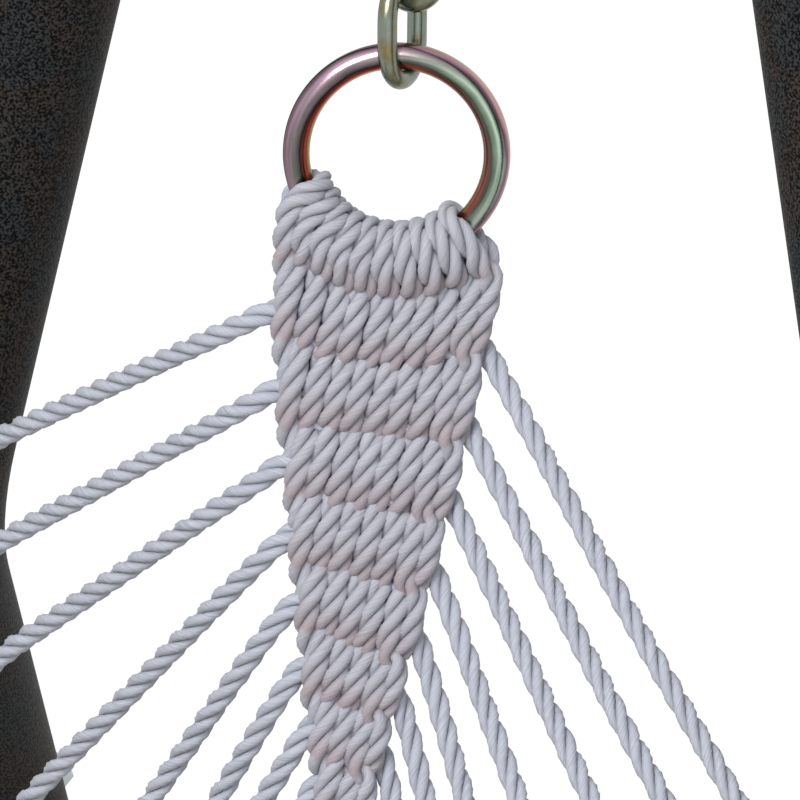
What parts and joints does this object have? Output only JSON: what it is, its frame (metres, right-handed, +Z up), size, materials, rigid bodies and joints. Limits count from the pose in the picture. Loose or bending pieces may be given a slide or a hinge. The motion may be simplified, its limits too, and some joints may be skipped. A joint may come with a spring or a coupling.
{
  "type": "hammock on stand",
  "caption": "Fabric hammock with spreader bars and rope fans, hung by rings and chains from a free-standing bent-tube steel stand.",
  "frame": {"origin": "on the floor under the middle of the bed", "axes": "+X along the hammock towards the pictured end, +Y across it, +Z up"},
  "size_m": [3.198, 1.325, 1.3511],
  "materials": {
    "hammered_coat": "dark charcoal hammered powder coat",
    "foot_rubber": "matt",
    "zinc_plate": "clear zinc plate",
    "chain_zinc": "zinc plate with a faint yellow tint",
    "ring_passivated": "yellow-passivated zinc, iridescent",
    "rope": "pale grey twisted cotton-type rope",
    "bar_wood": "oiled hardwood",
    "dowel_wood": "plain softwood",
    "canvas": "natural cotton canvas"
  },
  "bodies": {
    "stand": {"hoop_front": "hammered_coat", "hoop_back": "hammered_coat", "leg_front_left": "hammered_coat", "leg_front_right": "hammered_coat", "leg_back_left": "hammered_coat", "leg_back_right": "hammered_coat", "rail_left": "hammered_coat", "rail_right": "hammered_coat", "cross_bar_front": "hammered_coat", "cross_bar_back": "hammered_coat", "brace_front_left": "hammered_coat", "brace_front_right": "hammered_coat", "brace_back_left": "hammered_coat", "brace_back_right": "hammered_coat", "foot_front_left": "foot_rubber", "foot_front_right": "foot_rubber", "foot_back_left": "foot_rubber", "foot_back_right": "foot_rubber", "joint_bolts": "zinc_plate", "joint_nuts": "zinc_plate", "hook_front": "zinc_plate", "hook_back": "zinc_plate", "hook_nuts_front": "zinc_plate", "hook_nuts_back": "zinc_plate"},
    "hammock": {"chain_front": "chain_zinc", "chain_back": "chain_zinc", "end_link_front": "chain_zinc", "end_link_back": "chain_zinc", "ring_front": "ring_passivated", "ring_back": "ring_passivated", "clew_front": "rope", "clew_back": "rope", "nettles_left_front": "rope", "nettles_left_back": "rope", "nettles_right_front": "rope", "nettles_right_back": "rope", "spreader_bar_front": "bar_wood", "spreader_bar_back": "bar_wood", "hem_dowel_front": "dowel_wood", "hem_dowel_back": "dowel_wood", "bed_canvas": "canvas"}
  },
  "joints": [
    {"name": "swing", "type": "hinge", "parent": "stand", "child": "hammock", "pos_m": [0, 0, 1.28], "axis": [1, 0, 0], "range_deg": [-12, 12]}
  ]
}
